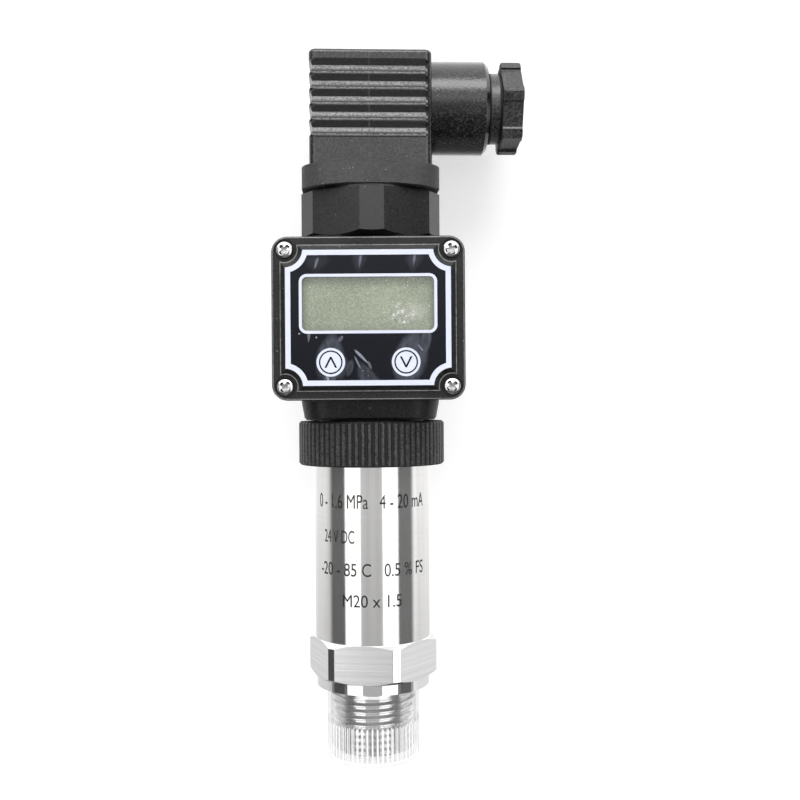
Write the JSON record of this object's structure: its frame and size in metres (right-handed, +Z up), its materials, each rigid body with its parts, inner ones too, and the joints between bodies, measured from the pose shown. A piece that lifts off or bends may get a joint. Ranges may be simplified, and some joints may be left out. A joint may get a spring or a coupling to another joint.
{
  "type": "pressure transmitter",
  "caption": "Pressure transmitter: hexagon steel body with male process thread under a clear cap, turnable display head with two keys, angled cable plug with gland.",
  "frame": {"origin": "centre of the sealing face under the collar, where the male process thread begins", "axes": "+Z up along the steel tube towards the plug, the display faces -Y, the cable leaves towards +X"},
  "size_m": [0.0573, 0.0386, 0.1642],
  "materials": {
    "stainless_steel": "turned and polished",
    "cell_steel": "turned",
    "screw_steel": "bright",
    "spring_steel": "dark",
    "nickel_brass": "plated",
    "black_plastic": "fine moulded grain",
    "nut_plastic": "fine moulded grain",
    "connector_plastic": "fine moulded grain",
    "block_plastic": "plain",
    "white_plastic": "plain",
    "board_green": "solder mask",
    "trimmer_blue": "plain",
    "chip_black": "plain",
    "black_rubber": "dusty",
    "film": "printed film",
    "lcd": "grey-green",
    "clear_plastic": "clear"
  },
  "bodies": {
    "steel_body": {"process_connection": "stainless_steel", "housing_tube": "stainless_steel", "sensor_cell": "cell_steel", "sensor_o_ring": "black_rubber", "sensor_lock_ring": "cell_steel", "signal_board": "board_green", "trimmers": "trimmer_blue", "amplifier_chip": "chip_black", "board_carrier": "black_plastic"},
    "head": {"neck_circlip": "spring_steel", "neck_o_ring": "black_rubber", "display_housing": "black_plastic", "display_lid": "black_plastic", "lid_gasket": "black_rubber", "lid_screws": "screw_steel", "overlay_film": "film", "lcd_glass": "lcd", "lcd_frame": "white_plastic", "zebra_strip": "black_rubber", "display_board": "board_green", "switch_cases": "chip_black", "connector_base": "connector_plastic", "base_insert": "nickel_brass", "base_o_ring": "black_rubber", "profile_gasket": "black_rubber", "plug_housing": "connector_plastic", "contact_block": "block_plastic", "terminal_screws": "screw_steel", "plug_screw": "screw_steel", "plug_screw_seal": "black_rubber", "gland_seal": "black_rubber", "gland_washer": "screw_steel", "line_contact_1": "nickel_brass", "line_contact_2": "nickel_brass", "line_contact_3": "nickel_brass", "earth_contact": "nickel_brass", "line_sleeve_1": "nickel_brass", "line_sleeve_2": "nickel_brass", "line_sleeve_3": "nickel_brass", "earth_sleeve": "nickel_brass"},
    "thread_cap": {"thread_cap": "clear_plastic"},
    "union_nut": {"union_nut": "nut_plastic"},
    "up_key": {"up_key_plunger": "white_plastic"},
    "down_key": {"down_key_plunger": "white_plastic"},
    "gland_nut": {"gland_nut": "connector_plastic"}
  },
  "joints": [
    {"name": "cap_pull", "type": "slide", "parent": "steel_body", "child": "thread_cap", "axis": [0, 0, -1], "range_m": [0, 0.03]},
    {"name": "head_turn", "type": "hinge", "parent": "steel_body", "child": "head", "pos_m": [0, 0, 0.06], "axis": [0, 0, 1], "range_deg": [-165, 165]},
    {"name": "union_nut_turn", "type": "hinge", "parent": "steel_body", "child": "union_nut", "pos_m": [0, 0, 0.057], "axis": [0, 0, 1], "range_deg": [0, 180]},
    {"name": "up_key_press", "type": "slide", "parent": "head", "child": "up_key", "axis": [0, 1, 0], "range_m": [0, 0.0003], "stiffness_N_per_m": 500},
    {"name": "down_key_press", "type": "slide", "parent": "head", "child": "down_key", "axis": [0, 1, 0], "range_m": [0, 0.0003], "stiffness_N_per_m": 500},
    {"name": "gland_nut_turn", "type": "hinge", "parent": "head", "child": "gland_nut", "pos_m": [0.01898, 0.00093, 0.136], "axis": [0.9988, 0.0488, 0], "range_deg": [0, 720]}
  ]
}
